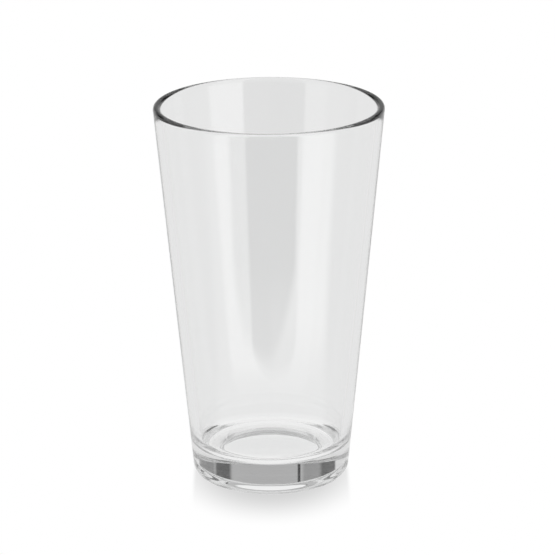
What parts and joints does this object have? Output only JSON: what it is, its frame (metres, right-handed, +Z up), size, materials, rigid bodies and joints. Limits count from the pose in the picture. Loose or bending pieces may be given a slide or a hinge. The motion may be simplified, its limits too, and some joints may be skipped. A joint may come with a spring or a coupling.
{
  "type": "mixing glass",
  "caption": "Tapered clear glass tumbler with a rounded rim, smooth straight wall and a thick solid base, for mixing or serving drinks.",
  "frame": {"origin": "centre of the base on the table plane, at the bearing ring's lowest face", "axes": "+Z up along the glass's axis of turning, towards the open rim; X and Y are alike"},
  "size_m": [0.0888, 0.0888, 0.1492],
  "materials": {
    "clear_glass": "clear pressed glass, fire-polished, smooth and glossy"
  },
  "bodies": {
    "root": {"glass_body": "clear_glass"}
  },
  "joints": []
}
